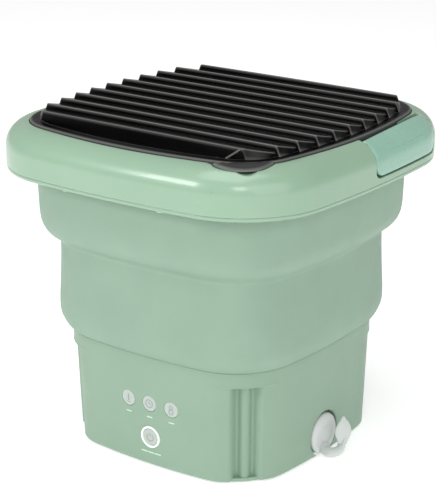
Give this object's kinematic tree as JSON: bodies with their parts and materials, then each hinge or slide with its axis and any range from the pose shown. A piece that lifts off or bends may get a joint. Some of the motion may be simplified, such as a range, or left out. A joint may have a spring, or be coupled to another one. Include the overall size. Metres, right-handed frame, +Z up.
{
  "type": "portable mini washer",
  "caption": "Portable mini washer: a square bucket with a collapsible rubber-walled tub, black washboard lid, fold-out carrying handle, push-button panel and side drain stopper.",
  "frame": {"origin": "on the floor, under the centre of the base", "axes": "+Z up, control panel facing -Y, carrying handle and drain on +X"},
  "size_m": [0.29, 0.29, 0.276],
  "materials": {
    "mint_gloss": "glossy moulded plastic",
    "mint_handle": "glossy moulded plastic, a shade bluer",
    "mint_satin": "satin moulded plastic",
    "mint_bellows": "matte thermoplastic rubber",
    "black_lid": "glossy smoked black plastic",
    "inner_white": "smooth white plastic",
    "pulsator_white": "smooth white plastic",
    "seal_rubber": "matte grey silicone",
    "foot_rubber": "matte rubber",
    "clear_silicone": "milky translucent silicone",
    "lens_white": "frosted translucent plastic",
    "button_white": "satin white plastic",
    "steel": "zinc plated steel",
    "bronze": "sintered bronze",
    "gear_white": "acetal",
    "board_green": "printed circuit board",
    "black_plastic": "black plastic",
    "led_white": "clear epoxy",
    "lead_black": "insulated lead",
    "grey_plastic": "grey plastic"
  },
  "bodies": {
    "base": {"base_housing": "mint_satin", "bottom_cover": "mint_satin", "rubber_feet": "foot_rubber", "cover_screws": "steel", "tub_basin": "inner_white", "gearbox_case": "grey_plastic", "gearbox_cover": "grey_plastic", "gearbox_screws": "steel", "lower_bushing": "bronze", "upper_bushing": "bronze", "shaft_seal": "seal_rubber", "motor_can": "steel", "motor_screws": "steel", "drain_elbow": "grey_plastic", "drain_outlet": "inner_white", "drain_gasket": "seal_rubber", "drain_nut": "grey_plastic", "control_board": "board_green", "board_screws": "steel", "indicator_leds": "led_white", "indicator_lenses": "lens_white", "button_bezel": "button_white", "power_switch": "black_plastic", "power_inlet": "black_plastic", "inlet_nut": "steel", "wiring_loom": "lead_black", "bellows": "mint_bellows", "bellows_lower_clamp": "grey_plastic"},
    "rim": {"rim_shell": "mint_gloss", "rim_lower_ring": "mint_gloss", "rim_screws": "steel", "bellows_upper_clamp": "grey_plastic", "hinge_pins": "steel"},
    "lid": {"lid_washboard": "black_lid", "lid_seal": "seal_rubber"},
    "handle": {"handle_flap": "mint_handle"},
    "pulsator": {"pulsator": "pulsator_white", "pulsator_screw": "steel", "pulsator_shaft": "steel", "drive_gear": "gear_white"},
    "motor_rotor": {"motor_shaft": "steel", "motor_pinion": "steel"},
    "power_key": {"power_button": "button_white"},
    "stopper": {"drain_plug": "clear_silicone"}
  },
  "joints": [
    {"name": "rim_collapse", "type": "slide", "parent": "base", "child": "rim", "axis": [0, 0, -1], "range_m": [0, 0.115], "deforming": ["bellows"]},
    {"name": "lid_lift", "type": "slide", "parent": "rim", "child": "lid", "axis": [0, 0, 1], "range_m": [0, 0.12]},
    {"name": "handle_fold", "type": "hinge", "parent": "rim", "child": "handle", "pos_m": [0.13319, 0.01048, 0.262], "axis": [0.0785, -0.9969, 0], "range_deg": [0, 95]},
    {"name": "pulsator_spin", "type": "hinge", "parent": "base", "child": "pulsator", "pos_m": [0, 0, 0.05], "axis": [0, 0, 1], "continuous": true},
    {"name": "motor_spin", "type": "hinge", "parent": "base", "child": "motor_rotor", "pos_m": [0, 0.045, 0.03], "axis": [0, 0, 1], "continuous": true},
    {"name": "power_press", "type": "slide", "parent": "base", "child": "power_key", "axis": [0, 1, 0], "range_m": [0, 0.0008], "stiffness_N_per_m": 600},
    {"name": "stopper_pull", "type": "slide", "parent": "base", "child": "stopper", "axis": [1, 0, 0], "range_m": [0, 0.03]}
  ],
  "couplings": [
    {"joint": "motor_spin", "follows": "pulsator_spin", "ratio": -3}
  ]
}
